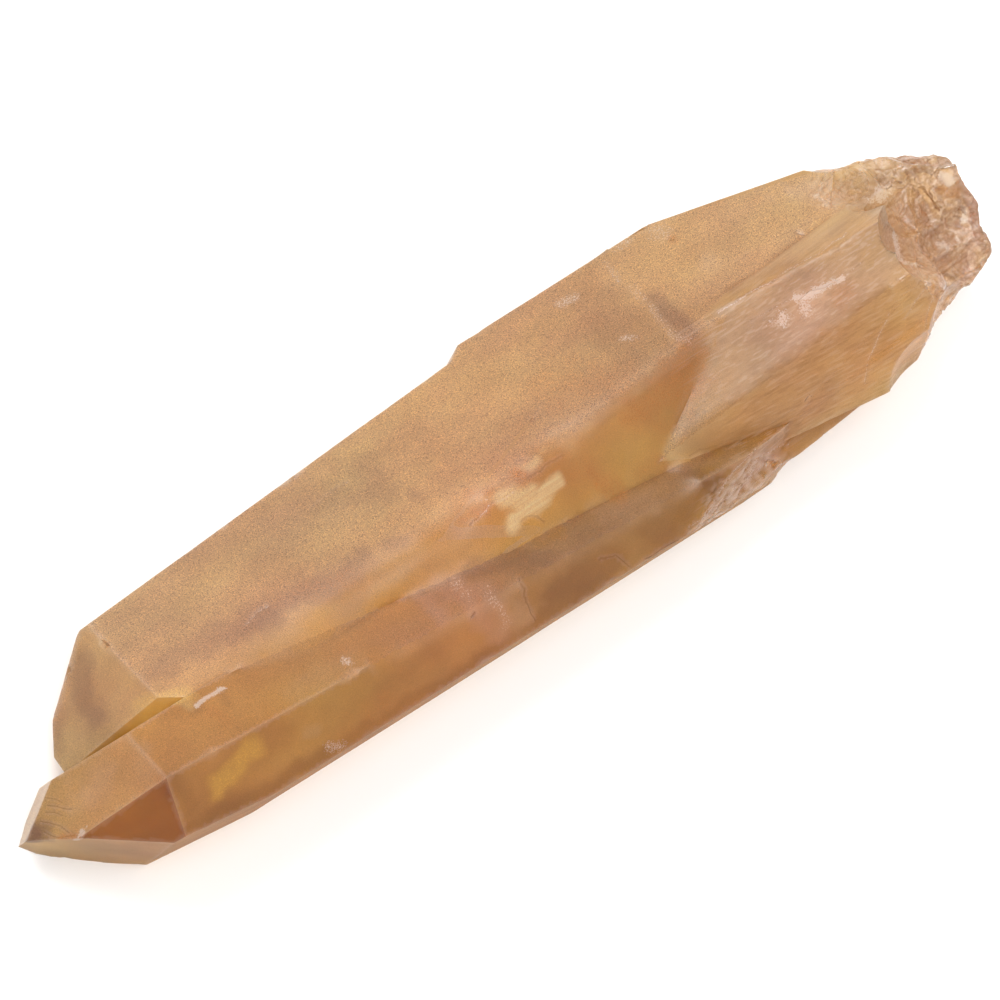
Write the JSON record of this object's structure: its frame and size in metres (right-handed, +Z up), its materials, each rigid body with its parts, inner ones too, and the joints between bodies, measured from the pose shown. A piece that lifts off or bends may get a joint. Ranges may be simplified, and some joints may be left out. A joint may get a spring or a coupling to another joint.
{
  "type": "natural quartz crystal point",
  "caption": "Natural citrine point: long six-sided quartz crystals grown side by side, frosted faces, sharp tips at one end and a rough broken base.",
  "frame": {"origin": "centre of the bounding box's bottom, on the surface that the specimen lies on", "axes": "+X along the crystals' common long axis toward the points, +Y toward the side crystal with the longest point, +Z up as it lies"},
  "size_m": [0.1204, 0.0292, 0.0207],
  "materials": {
    "citrine": "frosted, satin grown faces with glossy fractures, smoky honey yellow, milky inside"
  },
  "bodies": {
    "root": {"crystal": "citrine"}
  },
  "joints": []
}
